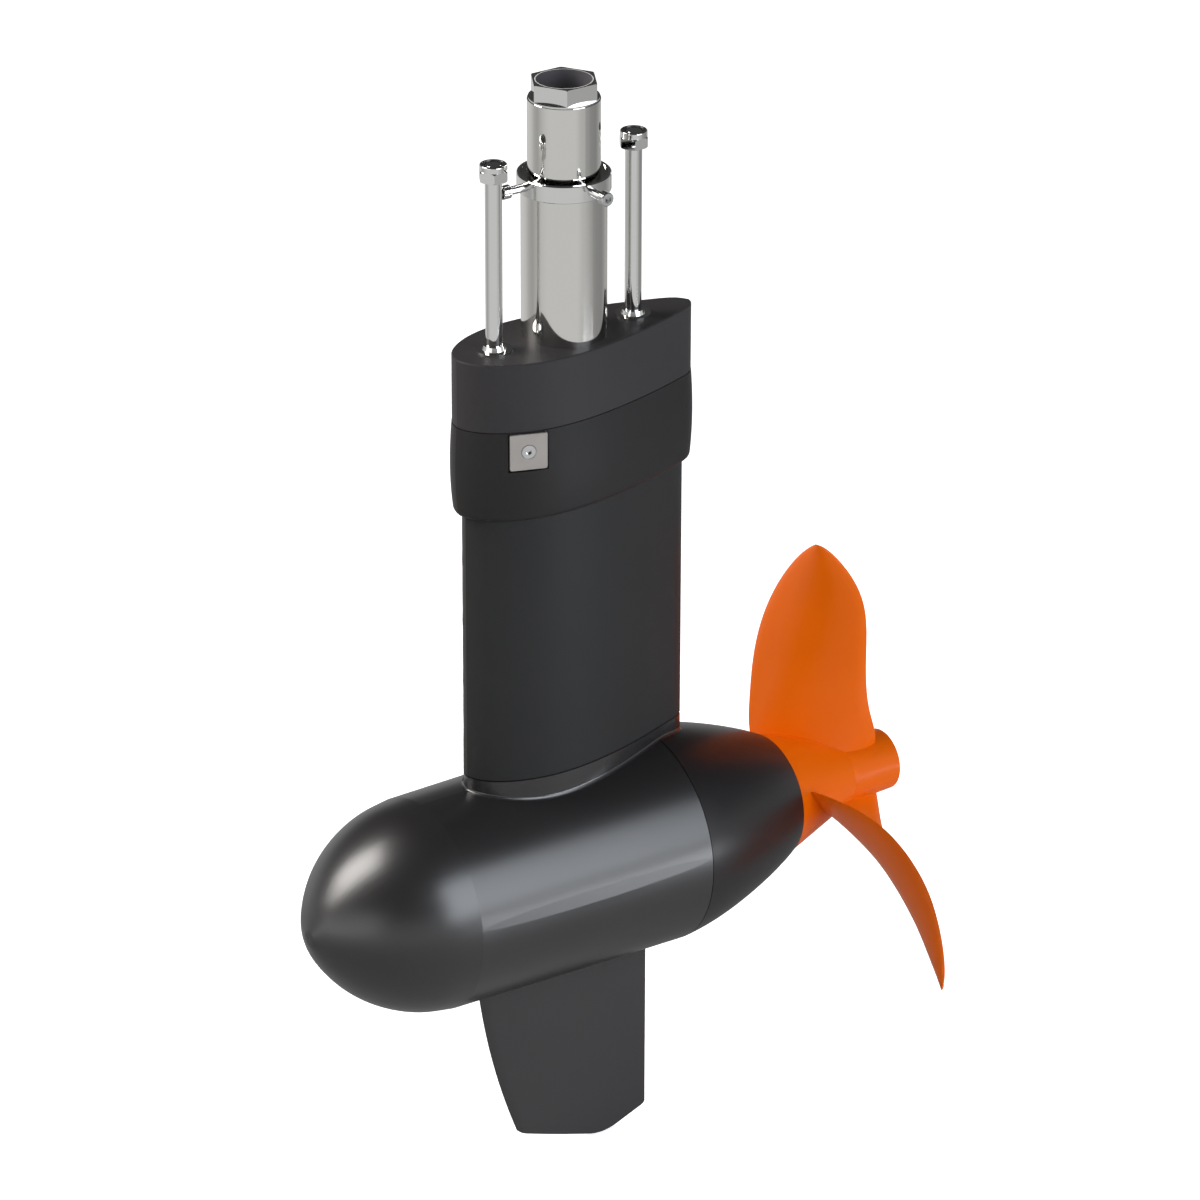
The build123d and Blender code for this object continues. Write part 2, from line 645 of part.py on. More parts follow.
def pod_body():
    solid = barrel()
    for hand in (1, -1):
        solid -= side_flat(hand)
    low = AXIS_Z + POD_BORE_R / 2
    pedestal = raised(strut_foil(low), PEDESTAL_TOP - low)
    solid += pedestal - tail_form(SEAM_GAP)
    solid -= axle(POD_BORE_R, POD_BODY_FRONT - MARGIN, RIB_Y)
    solid -= axle(CARRIER_RIB_R, RIB_Y - MARGIN, RIB_END_Y + MARGIN)
    solid -= axle(POD_BORE_R, RIB_END_Y, POD_BODY_BACK + MARGIN)
    solid -= post(TUBE_LOW_R + SLIP_GAP, TUBE_BOTTOM, PEDESTAL_TOP + MARGIN)
    solid -= post(WIRE_HOLE_R, AXIS_Z, PEDESTAL_TOP + MARGIN)
    for y in POD_BOLT_YS:
        solid -= post(BOLT_R + SLIP_GAP, AXIS_Z, PEDESTAL_TOP + MARGIN, y=y)
        solid -= post(BOLT_HEAD_R + SEAM_GAP, AXIS_Z, AXIS_Z + POD_BORE_R + BOLT_SINK, y=y)
    for y in FIN_BOLT_YS:
        solid -= post(FIN_BOLT_R + SLIP_GAP, FIN_SEAT_Z - FIN_BOLT_LENGTH, AXIS_Z, y=y)
        solid -= post(FIN_BOLT_HEAD_R + SEAM_GAP, FIN_SEAT_Z, AXIS_Z, y=y)
    hole = axle(CARRIER_SCREW_R + SLIP_GAP, RIB_Y - MARGIN, RIB_END_Y + MARGIN)
    for place in carrier_screw_places(hole):
        solid -= place
    return solid


def pod_bolts():
    """Bolts from inside the pod up into the strut's solid end."""
    seat = AXIS_Z + POD_BORE_R + BOLT_SINK
    length = STRUT_BOTTOM + BOLT_GRIP - seat
    bolt = Rot(180, 0, 0) * socket_bolt(BOLT_R, BOLT_HEAD_R, POD_BOLT_HEAD, length)
    return [Pos(0, y, seat) * bolt for y in POD_BOLT_YS]


# Nose cap: blunt shell that plugs into the body
def nose_radius(y):
    share = (NOSE_FULL_Y - y) / (NOSE_FULL_Y - NOSE_TIP)
    return NOSE_FULL_R * max(0.0, 1 - share**NOSE_POWER) ** (1 / NOSE_ROOT)


def nose_cap():
    span = NOSE_FULL_Y - NOSE_TIP
    places = [NOSE_FULL_Y - span * share for share in NOSE_SHARES]
    points = [(POD_BODY_FRONT, POD_FRONT_R)] + [(y, nose_radius(y)) for y in places]
    points.append((NOSE_TIP + NOSE_BLUNT, 0))
    ends = Polyline(
        points[-1], (NOSE_PLUG_Y, 0), (NOSE_PLUG_Y, PLUG_R), (POD_BODY_FRONT, PLUG_R), points[0],
    )
    solid = spun(nose_curve(points) + ends)
    scale = PLUG_IN_R / POD_FRONT_R
    inner = [(POD_BODY_FRONT + (y - POD_BODY_FRONT) * scale, radius * scale) for y, radius in points]
    mouth_y = NOSE_PLUG_Y + MARGIN
    mouth = Polyline(inner[-1], (mouth_y, 0), (mouth_y, PLUG_IN_R), inner[0])
    solid -= spun(nose_curve(inner) + mouth)
    return solid - o_ring_groove(POD_BODY_FRONT + SPIGOT / 2)


def nose_curve(points):
    """A curve through the nose's points that meets the axis square."""
    first = Vector(points[1][0] - points[0][0], points[1][1] - points[0][1])
    return Spline(*points, tangents=((first.X, first.Y), (0, -1)))


def o_ring_groove(y):
    inner = PLUG_R - 2 * O_RING_R
    return ring(POD_BORE_R + MARGIN, inner, y - O_RING_GROOVE / 2, y + O_RING_GROOVE / 2)


def o_ring(y):
    return Pos(0, y, AXIS_Z) * forwards(Torus(PLUG_R - O_RING_R + SLIP_GAP, O_RING_R - SLIP_GAP))


# Tail cone: casting that carries the rear bearing and the shaft seal
def tail_form(grow=0.0):
    """The cone's round outer form, closed at its ends."""
    points = [(POD_BODY_BACK, POD_BACK_R), *TAIL_CURVE, (TAIL_END_Y, TAIL_END_R)]
    points = [(y, radius + grow) for y, radius in points]
    ends = Polyline(points[-1], (TAIL_END_Y, 0), (POD_BODY_BACK, 0), points[0])
    return spun(Spline(*points) + ends)


def tail_cone():
    solid = tail_form() + axle(PLUG_R, TAIL_PLUG_Y, POD_BODY_BACK + MARGIN)
    bearing_r, bearing_width, bearing_y = REAR_BEARING
    land_y = bearing_y - CIRCLIP - TAIL_LAND
    cavity = Polyline(
        (TAIL_PLUG_Y - MARGIN, 0), (TAIL_PLUG_Y - MARGIN, PLUG_IN_R),
        (POD_BODY_BACK + SPIGOT, PLUG_IN_R), (land_y, bearing_r + TAIL_LAND), (land_y, 0), close=True,
    )
    solid -= spun(cavity)
    solid -= axle(bearing_r + PRESS_GAP, land_y - MARGIN, bearing_y + bearing_width)
    solid -= axle(bearing_r + CIRCLIP_BITE + SLIP_GAP, bearing_y - CIRCLIP - SLIP_GAP, bearing_y)
    solid -= axle(SHAFT_COLLAR_R + COLLAR_CLEAR, bearing_y, SEAL_Y - TAIL_LAND)
    solid -= axle(SHAFT_R + MARGIN, bearing_y, TAIL_END_Y + MARGIN)
    solid -= axle(SEAL_R + PRESS_GAP, SEAL_Y, TAIL_END_Y + MARGIN)
    seam_end = POD_BODY_BACK + SEAM_WIDTH
    solid -= ring(POD_BACK_R + MARGIN, POD_BACK_R - SEAM_DEPTH, POD_BODY_BACK, seam_end)
    return solid - o_ring_groove(POD_BODY_BACK - SPIGOT / 2)


# Fin: swept foil under the pod, its top cut to the pod's round underside
def fin_section(drop, front):
    first = FIN_STATIONS[0][0]
    share = (drop - first) / (FIN_STATIONS[-1][0] - first)
    half = (FIN_THICK_ROOT + (FIN_THICK_TIP - FIN_THICK_ROOT) * share) / 2
    return foil(front, FIN_BACK_Y - front, half, STRUT_FOIL, AXIS_Z - drop)


def fin_outline():
    """The fin's side view, wider than the fin except along its lower edge."""
    top = AXIS_Z - FIN_STATIONS[0][0]
    corners = [(y, AXIS_Z - drop) for y, drop in (FIN_TIP_FRONT, FIN_TIP_LOW, FIN_TIP_BACK)]
    face = make_face(Polyline((FIN_LEAD_Y, top), *corners, (corners[-1][0], top), close=True))
    for corner, radius in zip(corners, FIN_CORNERS):
        vertex = face.vertices().sort_by_distance((corner[0], corner[1], 0))[0]
        face = fillet(vertex, radius)
    return extrude(Plane.YZ * face, FIN_THICK_ROOT, both=True)


def skeg_fin():
    solid = loft([fin_section(drop, front) for drop, front in FIN_STATIONS])
    solid = (solid & fin_outline()) - barrel(SLIP_GAP)
    for y in FIN_BOLT_YS:
        solid -= post(FIN_BOLT_R + SLIP_GAP, FIN_SEAT_Z - FIN_BOLT_LENGTH - MARGIN, AXIS_Z, y=y)
    return solid


def fin_bolts():
    bolt = socket_bolt(FIN_BOLT_R, FIN_BOLT_HEAD_R, FIN_BOLT_HEAD, FIN_BOLT_LENGTH)
    return [Pos(0, y, FIN_SEAT_Z) * bolt for y in FIN_BOLT_YS]


# Bearings: two grooved races with a ring of balls between them
def ball_track(bearing, gap):
    outer_r, width, front = bearing
    tube = (outer_r - SHAFT_R) * BALL_SHARE + gap
    loop = Torus((outer_r + SHAFT_R) / 2, tube)
    return Pos(0, front + width / 2, AXIS_Z) * forwards(loop)


def outer_race(bearing):
    outer_r, width, front = bearing
    wall = (outer_r - SHAFT_R) * RACE_SHARE
    return ring(outer_r, outer_r - wall, front, front + width) - ball_track(bearing, BALL_GAP)


def inner_race(bearing):
    outer_r, width, front = bearing
    wall = (outer_r - SHAFT_R) * RACE_SHARE
    solid = ring(SHAFT_R + wall, SHAFT_R + PRESS_GAP, front, front + width)
    return solid - ball_track(bearing, SLIP_GAP)


def race_balls(bearing):
    outer_r, width, front = bearing
    ball = Sphere((outer_r - SHAFT_R) * BALL_SHARE)
    ball = Pos(0, front + width / 2, AXIS_Z + (outer_r + SHAFT_R) / 2) * ball
    return [about_axis(ball, 360 * number / BALLS) for number in range(BALLS)]


def bearing_circlips():
    """Spring rings in front of both outer races, cut open at the top."""
    clips = []
    for outer_r, width, front in (FRONT_BEARING, REAR_BEARING):
        clip = ring(outer_r + CIRCLIP_BITE, outer_r - CIRCLIP_DEPTH, front - CIRCLIP, front - SLIP_GAP)
        opening = Box(CIRCLIP_OPENING, 2 * CIRCLIP, 3 * CIRCLIP_DEPTH)
        clips.append(clip - Pos(0, front - CIRCLIP, AXIS_Z + outer_r) * opening)
    return clips


# Shaft seal: ring in the tail's rear seat, with its lip on the shaft
def shaft_seal():
    groove_r = SHAFT_R + SEAL_LIP_GAP + SEAL_LIP
    solid = ring(SEAL_R, SHAFT_R + SEAL_LIP_GAP, SEAL_Y, SEAL_Y + SEAL_WIDTH)
    return solid - axle(groove_r, SEAL_Y + SEAL_LIP, SEAL_Y + SEAL_WIDTH - SEAL_LIP)


# Stator: carrier flange and spindle, toothed core and twelve coils
def carrier_screw_places(shape):
    """Copies a piece drawn on the pod's axis to each screw of the carrier's flange."""
    raised_up = Pos(0, 0, CARRIER_SCREW_PCR) * shape
    step = 360 / CARRIER_SCREWS
    return [about_axis(raised_up, step * (number + 0.5)) for number in range(CARRIER_SCREWS)]


def stator_carrier():
    bearing_r, bearing_width, bearing_y = FRONT_BEARING
    solid = axle(PLUG_R, CARRIER_Y, RIB_Y) + axle(CARRIER_SPINDLE_R, RIB_Y, CARRIER_END_Y)
    solid -= axle(bearing_r + PRESS_GAP, CARRIER_Y - MARGIN, bearing_y + bearing_width)
    solid -= axle(bearing_r + CIRCLIP_BITE + SLIP_GAP, bearing_y - CIRCLIP - SLIP_GAP, bearing_y)
    solid -= axle(CARRIER_BORE_R, CARRIER_Y, CARRIER_END_Y + MARGIN)
    hole = axle(CARRIER_SCREW_R + SLIP_GAP, CARRIER_Y - MARGIN, RIB_Y + MARGIN)
    for place in carrier_screw_places(hole):
        solid -= place
    return solid - wire_notch(CARRIER_Y - MARGIN, RIB_Y + MARGIN)


def wire_notch(front, back):
    """Way for the motor's wires, under the top of the pod's bore."""
    return Pos(0, 0, CARRIER_RIB_R - WIRE_NOTCH_R) * axle(WIRE_NOTCH_R, front, back)


def carrier_screws():
    screw = socket_bolt(CARRIER_SCREW_R, CARRIER_SCREW_HEAD_R, CARRIER_SCREW_HEAD, CARRIER_SCREW_LENGTH)
    return carrier_screw_places(Pos(0, CARRIER_Y, AXIS_Z) * forwards(screw))


def stator_core():
    solid = ring(CORE_YOKE_R, CARRIER_SPINDLE_R + SLIP_GAP, CORE_Y, CORE_END_Y)
    shoes = ring(CORE_R, CORE_R - SHOE_DEPTH, CORE_Y, CORE_END_Y)
    middle = (CORE_Y + CORE_END_Y) / 2
    slot = Pos(0, middle, AXIS_Z + CORE_R) * Box(SHOE_GAP, CORE_LENGTH + 2 * MARGIN, 4 * SHOE_DEPTH)
    root_r = (CARRIER_SPINDLE_R + CORE_YOKE_R) / 2
    height = CORE_R - SHOE_DEPTH / 2 - root_r
    tooth = Pos(0, middle, AXIS_Z + root_r + height / 2) * Box(TOOTH_WIDTH, CORE_LENGTH, height)
    for number in range(TEETH):
        shoes -= about_axis(slot, 360 * (number + 0.5) / TEETH)
    solid += shoes
    for number in range(TEETH):
        solid += about_axis(tooth, 360 * number / TEETH)
    return solid


def stator_windings():
    """One coil round each tooth."""
    width = TOOTH_WIDTH + 2 * (SEAM_GAP + COIL_WALL)
    length = CORE_LENGTH + 2 * (SEAM_GAP + COIL_WALL)
    low = CORE_YOKE_R + SEAM_GAP
    high = sqrt((CORE_R - SHOE_DEPTH - SEAM_GAP) ** 2 - (width / 2) ** 2)
    coil = Box(width, length, high - low)
    coil = chamfer(coil.edges().filter_by(Axis.Z), COIL_CORNER)
    coil -= Box(TOOTH_WIDTH + 2 * SEAM_GAP, CORE_LENGTH + 2 * SEAM_GAP, high)
    coil = Pos(0, (CORE_Y + CORE_END_Y) / 2, AXIS_Z + (low + high) / 2) * coil
    return [about_axis(coil, 360 * number / TEETH) for number in range(TEETH)]


# Rotor: bell outside the stator, carrying the magnets
def rotor_bell():
    front = CORE_Y - BELL_OVERLAP
    back = BELL_PLATE_Y + BELL_PLATE
    solid = axle(BELL_R, front, back) + axle(BELL_HUB_R, back, BELL_HUB_Y)
    solid -= axle(MAGNET_OUT_R, front - MARGIN, BELL_PLATE_Y)
    solid -= axle(SHAFT_R + SLIP_GAP, front, BELL_HUB_Y + MARGIN)
    key_way = Box(KEY_WIDTH + 2 * SLIP_GAP, KEY_LENGTH + 2 * MARGIN, KEY_HEIGHT + 2 * SLIP_GAP)
    solid -= Pos(0, KEY_Y, AXIS_Z + SHAFT_R) * key_way
    hole = axle(BELL_HOLE_R, BELL_PLATE_Y - MARGIN, back + MARGIN)
    hole = Pos(0, 0, (BELL_HUB_R + MAGNET_IN_R) / 2) * hole
    for number in range(BELL_HOLES):
        solid -= about_axis(hole, 360 * number / BELL_HOLES)
    return solid


def rotor_magnets():
    shell = ring(MAGNET_OUT_R - SLIP_GAP, MAGNET_IN_R, CORE_Y, CORE_END_Y)
    width = 2 * pi * MAGNET_IN_R / MAGNETS * MAGNET_SHARE
    block = Box(width, CORE_LENGTH + 2 * MARGIN, 4 * MAGNET_THICK)
    magnet = shell & (Pos(0, (CORE_Y + CORE_END_Y) / 2, AXIS_Z + MAGNET_OUT_R) * block)
    return [about_axis(magnet, 360 * number / MAGNETS) for number in range(MAGNETS)]


# Shaft: stepped bar from the front bearing to the propeller's nut
def prop_shaft():
    bearing_r, bearing_width, bearing_y = REAR_BEARING
    collar_y = bearing_y + bearing_width
    seat_end = PROP_SEAT_Y + PROP_SEAT
    solid = axle(SHAFT_R, SHAFT_FRONT_Y, PROP_SEAT_Y)
    solid = chamfer(solid.faces().sort_by(Axis.Y)[0].edges(), SHAFT_CHAMFER)
    solid += axle(SHAFT_COLLAR_R, collar_y, collar_y + SHAFT_COLLAR)
    solid += axle(PROP_SEAT_R, PROP_SEAT_Y - MARGIN, seat_end)
    thread = axle(PROP_THREAD_R, seat_end - MARGIN, seat_end + PROP_THREAD)
    solid += chamfer(thread.faces().sort_by(Axis.Y)[-1].edges(), SHAFT_CHAMFER)
    solid -= Pos(0, PIN_Y, AXIS_Z) * sideways(post(DRIVE_PIN_R + SLIP_GAP, -SHAFT_R, SHAFT_R))
    key_way = Box(KEY_WIDTH + 2 * SLIP_GAP, KEY_LENGTH + 2 * SLIP_GAP, KEY_HEIGHT + 2 * SLIP_GAP)
    return solid - Pos(0, KEY_Y, AXIS_Z + SHAFT_R) * key_way


def shaft_key():
    return Pos(0, KEY_Y, AXIS_Z + SHAFT_R) * Box(KEY_WIDTH, KEY_LENGTH, KEY_HEIGHT)


def bell_circlip():
    """Spring ring on the shaft in front of the bell."""
    front = BELL_PLATE_Y - CIRCLIP
    clip = ring(SHAFT_R + CIRCLIP_DEPTH, SHAFT_R + SLIP_GAP, front, BELL_PLATE_Y - SLIP_GAP)
    opening = Box(CIRCLIP_OPENING, 2 * CIRCLIP, 3 * CIRCLIP_DEPTH)
    return clip - Pos(0, front, AXIS_Z - SHAFT_R) * opening


def shaft_spacer():
    return ring(SPACER_R, SHAFT_R + SLIP_GAP, BELL_HUB_Y, REAR_BEARING[2])


# Propeller: hub with three skewed and raked blades, drawn from their sections
def blade_section(share, half_chord, shift, rake):
    """One section, drawn flat across the blade's own line at its distance from the axis."""
    radius = BLADE_ROOT_R + share * (PROP_R - BLADE_ROOT_R)
    slope = atan2(PITCH_ROOT + (PITCH_TIP - PITCH_ROOT) * share, 2 * pi * radius)
    thick = BLADE_THICK_ROOT + (BLADE_THICK_TIP - BLADE_THICK_ROOT) * sqrt(max(0.0, share))
    thick *= sqrt(1 - max(0.0, share) ** BLADE_TIP_POWER)
    points = []
    for step in range(2 * BLADE_STEPS + 1):
        turn = pi * step / BLADE_STEPS
        back = 2 * BLADE_CAMBER * half_chord * sin(turn) ** 2 + thick / 2 * sin(turn)
        run = half_chord * cos(turn) + shift
        x = run * cos(slope) + back * sin(slope)
        y = BLADE_TIP_Y + rake + run * sin(slope) - back * cos(slope)
        points.append((x, y, AXIS_Z + radius))
    upper = Spline(*points[:BLADE_STEPS + 1])
    lower = Spline(*points[BLADE_STEPS:-1], points[0])
    return make_face(upper + lower)


def blade():
    return loft([blade_section(*station) for station in BLADE_STATIONS])


def hub_form():
    outline = Polyline(
        (HUB_FRONT_Y, HUB_FRONT_R), (HUB_WAIST_Y, HUB_WAIST_R), (HUB_END_Y, HUB_BACK_R),
        (HUB_END_Y, 0), (HUB_FRONT_Y, 0), close=True,
    )
    return spun(outline)


def propeller():
    solid = hub_form()
    one = blade()
    for number in range(BLADES):
        solid += about_axis(one, BLADE_FIRST_ANGLE + 360 * number / BLADES)
    solid -= axle(HUB_MOUTH_R, HUB_FRONT_Y - MARGIN, HUB_FLOOR_Y)
    solid -= axle(PROP_SEAT_R + SLIP_GAP, HUB_FRONT_Y, HUB_END_Y)
    solid -= axle(HUB_RECESS_R, HUB_RECESS_Y, HUB_END_Y + MARGIN)
    depth = 2 * (DRIVE_PIN_R + SEAM_GAP)
    slot = Box(2 * HUB_MOUTH_R, depth + MARGIN, 2 * (DRIVE_PIN_R + SLIP_GAP))
    return solid - Pos(0, HUB_FLOOR_Y + (depth - MARGIN) / 2, AXIS_Z) * slot


def drive_pin():
    """Pin across the shaft that turns the hub by the slot in its front."""
    return Pos(0, PIN_Y, AXIS_Z) * sideways(post(DRIVE_PIN_R, -DRIVE_PIN_HALF, DRIVE_PIN_HALF))


def thrust_washer():
    return ring(THRUST_WASHER_R, PROP_SEAT_R + SLIP_GAP, PROP_SEAT_Y, HUB_FLOOR_Y)


def prop_washer():
    return ring(PROP_WASHER_R, PROP_THREAD_R + SLIP_GAP, HUB_RECESS_Y, HUB_RECESS_Y + PROP_WASHER)


def prop_nut():
    front = HUB_RECESS_Y + PROP_WASHER
    prism = hexagon(PROP_NUT_FLATS, 0, PROP_NUT)
    blank = post(PROP_NUT_FLATS / sqrt(3), 0, PROP_NUT)
    prism &= chamfer(top_edges(blank), NUT_CHAMFER)
    nut = Pos(0, front, AXIS_Z) * Rot(-90, 0, 0) * prism
    return nut - axle(PROP_THREAD_R + SLIP_GAP, front - MARGIN, front + PROP_NUT + MARGIN)


def hub_cap():
    """Domed plug in the hub's rear end."""
    solid = axle(HUB_RECESS_R - SLIP_GAP, HUB_END_Y - HUB_CAP, HUB_END_Y)
    return fillet(solid.faces().sort_by(Axis.Y)[-1].edges(), HUB_CAP_DOME)


# Controller: heat sink plate across the bore, with the board in front of it
def heat_sink_plate():
    back = NOSE_PLUG_Y + SINK_PLATE
    return axle(PLUG_R, NOSE_PLUG_Y, back) - wire_notch(NOSE_PLUG_Y - MARGIN, back + MARGIN)


def controller_board():
    return axle(BOARD_R, BOARD_Y - BOARD_THICK, BOARD_Y)


def ring_of(shape, count, radius, turn=0.0):
    """Copies of a piece drawn on the pod's axis, spaced evenly round a circle."""
    lifted = Pos(0, 0, radius) * shape
    return [about_axis(lifted, turn + 360 * number / count) for number in range(count)]


def board_standoffs():
    return ring_of(axle(STANDOFF_R, BOARD_Y, NOSE_PLUG_Y), STANDOFFS, STANDOFF_PCR, turn=180 / STANDOFFS)


def power_modules():
    module = Box(MODULE_LENGTH, STANDOFF, MODULE_WIDTH)
    return ring_of(Pos(0, (BOARD_Y + NOSE_PLUG_Y) / 2, AXIS_Z) * module, MODULES, MODULE_PCR)


def link_capacitors():
    back = BOARD_Y - BOARD_THICK
    can = axle(CAPACITOR_R, back - CAPACITOR_LENGTH, back)
    can = chamfer(can.faces().sort_by(Axis.Y)[0].edges(), CAPACITOR_EDGE)
    return ring_of(can, CAPACITORS, CAPACITOR_PCR)


# Hull fixing
save(hull_block(), "hull_block")
save(stem_tube(), "stem_tube")
save(cable_tube(), "cable_tube")
save(hex_bush(), "hex_bush")
save(clamp_collar(), "clamp_collar")
save(Compound(collar_screws()), "collar_screws")
save(Compound(at_studs(hull_stud())), "hull_studs")
save(Compound(at_studs(stud_nut())), "stud_nuts")
save(Compound(at_studs(nut_insert())), "nut_inserts")
save(Compound(at_studs(stud_bush())), "stud_bushes")

# Strut and its head
save(strut_head(), "strut_head")
save(anode_plate(), "anode_plate")
save(anode_screw(), "anode_screw")
save(anchor_plate(), "anchor_plate")
save(Compound(strut_bolts()), "strut_bolts")
save(strut(), "strut")
save(strut_gasket(), "strut_gasket")

# Pod shells and fin
save(pod_body(), "pod_body")
save(Compound(pod_bolts()), "pod_bolts")
save(nose_cap(), "nose_cap")
save(o_ring(POD_BODY_FRONT + SPIGOT / 2), "nose_o_ring")
save(tail_cone(), "tail_cone")
save(o_ring(POD_BODY_BACK - SPIGOT / 2), "tail_o_ring")
save(skeg_fin(), "skeg_fin")
save(Compound(fin_bolts()), "fin_bolts")

# Motor's standing parts
save(stator_carrier(), "stator_carrier")
save(Compound(carrier_screws()), "carrier_screws")
save(stator_core(), "stator_core")
save(Compound(stator_windings()), "stator_windings")
save(outer_race(FRONT_BEARING), "front_bearing_outer")
save(outer_race(REAR_BEARING), "rear_bearing_outer")
save(Compound(bearing_circlips()), "bearing_circlips")
save(shaft_seal(), "shaft_seal")

# Controller
save(heat_sink_plate(), "heat_sink_plate")
save(controller_board(), "controller_board")
save(Compound(board_standoffs()), "board_standoffs")
save(Compound(power_modules()), "power_modules")
save(Compound(link_capacitors()), "link_capacitors")

# Turning parts
save(prop_shaft(), "prop_shaft")
save(shaft_key(), "shaft_key")
save(bell_circlip(), "bell_circlip")
save(shaft_spacer(), "shaft_spacer")
save(rotor_bell(), "rotor_bell")
save(Compound(rotor_magnets()), "rotor_magnets")
save(inner_race(FRONT_BEARING), "front_bearing_inner")
save(Compound(race_balls(FRONT_BEARING)), "front_bearing_balls")
save(inner_race(REAR_BEARING), "rear_bearing_inner")
save(Compound(race_balls(REAR_BEARING)), "rear_bearing_balls")
save(propeller(), "propeller")
save(hub_cap(), "hub_cap")
save(prop_nut(), "prop_nut")
save(prop_washer(), "prop_washer")
save(thrust_washer(), "thrust_washer")
save(drive_pin(), "drive_pin")
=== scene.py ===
from math import radians, sin, cos, tan, pi

import bpy
from mathutils import Matrix, Vector


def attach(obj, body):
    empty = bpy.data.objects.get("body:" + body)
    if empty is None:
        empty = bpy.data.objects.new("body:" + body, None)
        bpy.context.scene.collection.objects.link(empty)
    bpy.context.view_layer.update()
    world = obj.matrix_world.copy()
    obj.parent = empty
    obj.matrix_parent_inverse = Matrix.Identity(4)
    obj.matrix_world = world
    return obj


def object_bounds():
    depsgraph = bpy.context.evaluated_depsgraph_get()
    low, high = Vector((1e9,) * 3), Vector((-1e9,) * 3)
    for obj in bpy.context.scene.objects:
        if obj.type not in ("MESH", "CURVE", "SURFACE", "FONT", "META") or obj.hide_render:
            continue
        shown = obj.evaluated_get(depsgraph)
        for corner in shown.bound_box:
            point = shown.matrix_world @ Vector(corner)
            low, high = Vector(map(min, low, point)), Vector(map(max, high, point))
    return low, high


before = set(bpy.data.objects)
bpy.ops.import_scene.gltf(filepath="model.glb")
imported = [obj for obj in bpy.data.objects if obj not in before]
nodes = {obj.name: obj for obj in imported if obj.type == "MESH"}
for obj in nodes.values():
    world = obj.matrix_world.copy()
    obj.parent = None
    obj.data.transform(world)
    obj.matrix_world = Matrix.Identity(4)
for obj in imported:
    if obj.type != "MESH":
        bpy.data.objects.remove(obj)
frame_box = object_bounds()
bpy.ops.object.select_all(action="DESELECT")


# Camera, where the photographer stood: in front of the pod on its anode side, looking down a
# little, with a long lens. The angles are about the vertical, above the horizon and about the lens.
LENS_TURN = 54.640
LENS_RISE = 24.409
LENS_ROLL = 0.143
LENS_PLACE = (3.3128, -2.3197, 1.6316)
LENS_LENGTH = 188.85
LENS_SENSOR = 36.0
LENS_REACH = 60.0
camera = bpy.data.objects.new("camera", bpy.data.cameras.new("camera"))
bpy.context.scene.collection.objects.link(camera)
camera.data.sensor_width = LENS_SENSOR
camera.data.lens = LENS_LENGTH
camera.data.clip_end = LENS_REACH
turn = Matrix.Rotation(radians(LENS_TURN), 4, "Z")
rise = Matrix.Rotation(radians(90.0 - LENS_RISE), 4, "X")
roll = Matrix.Rotation(radians(LENS_ROLL), 4, "Z")
camera.matrix_world = Matrix.Translation(LENS_PLACE) @ turn @ rise @ roll
bpy.context.scene.camera = camera
bpy.context.scene.view_settings.view_transform = "Standard"


# Studio: a white sweep under the fin, a pale room, and four softboxes round the object. To the
# eye the sweep and the room are plain white, and in reflections they have a studio's soft greys.
class Signal:
    """The output of a shader node. Arithmetic on it adds Math nodes."""

    def __init__(self, graph, socket):
        self.graph = graph
        self.socket = socket

    def maths(self, operation, first, second):
        return self.graph.node("Math", {"operation": operation}, {0: first, 1: second})

    def __add__(self, other):
        return self.maths("ADD", self, other)

    def __radd__(self, other):
        return self.maths("ADD", other, self)

    def __sub__(self, other):
        return self.maths("SUBTRACT", self, other)

    def __rsub__(self, other):
        return self.maths("SUBTRACT", other, self)

    def __mul__(self, other):
        return self.maths("MULTIPLY", self, other)

    def __rmul__(self, other):
        return self.maths("MULTIPLY", other, self)

    def __truediv__(self, other):
        return self.maths("DIVIDE", self, other)

    def __rtruediv__(self, other):
        return self.maths("DIVIDE", other, self)

    def __pow__(self, other):
        return self.maths("POWER", self, other)

    def __rpow__(self, other):
        return self.maths("POWER", other, self)

    def __abs__(self):
        return self.graph.node("Math", {"operation": "ABSOLUTE"}, {0: self})

    def limited(self):
        """The same value kept between 0 and 1."""
        return self.graph.node("Math", {"operation": "ADD", "use_clamp": True}, {0: self, 1: 0.0})


class Graph:
    """A node tree being wired. A finish also has its material and its shader."""

    def __init__(self, tree):
        self.tree = tree
        self.material = None
        self.shader = None

    def node(self, kind, settings=None, sockets=None, output=0):
        """Adds a node of a type, with its settings first and then its sockets."""
        made = self.tree.nodes.new("ShaderNode" + kind)
        for key, value in (settings or {}).items():
            if key == "stops":
                self.place_stops(made.color_ramp, value)
            else:
                setattr(made, key, value)
        for key, value in (sockets or {}).items():
            self.feed(made.inputs[key], value)
        return Signal(self, made.outputs[output])

    def place_stops(self, ramp, stops):
        """Sets a ramp's stops, each a place from 0 to 1 and a grey tone."""
        while len(ramp.elements) < len(stops):
            ramp.elements.new(1.0)
        for element, (place, tone) in zip(ramp.elements, stops):
            element.position = place
            element.color = (tone, tone, tone, 1.0)

    def feed(self, socket, value):
        """Links a socket to a signal, or sets it to a constant."""
        if isinstance(value, Signal):
            self.tree.links.new(value.socket, socket)
        else:
            socket.default_value = value

    def shade(self, name, value):
        """Feeds one of the shader's sockets."""
        self.feed(self.shader.inputs[name], value)

    def shaded(self, name):
        """What feeds one of the shader's sockets now."""
        return Signal(self, self.shader.inputs[name].links[0].from_socket)


def tint(graph, share, first, second):
    """A colour between two colours, by a value from 0 to 1."""
    return graph.node("Mix", {"data_type": "RGBA"}, {0: share, 6: first, 7: second}, output=2)


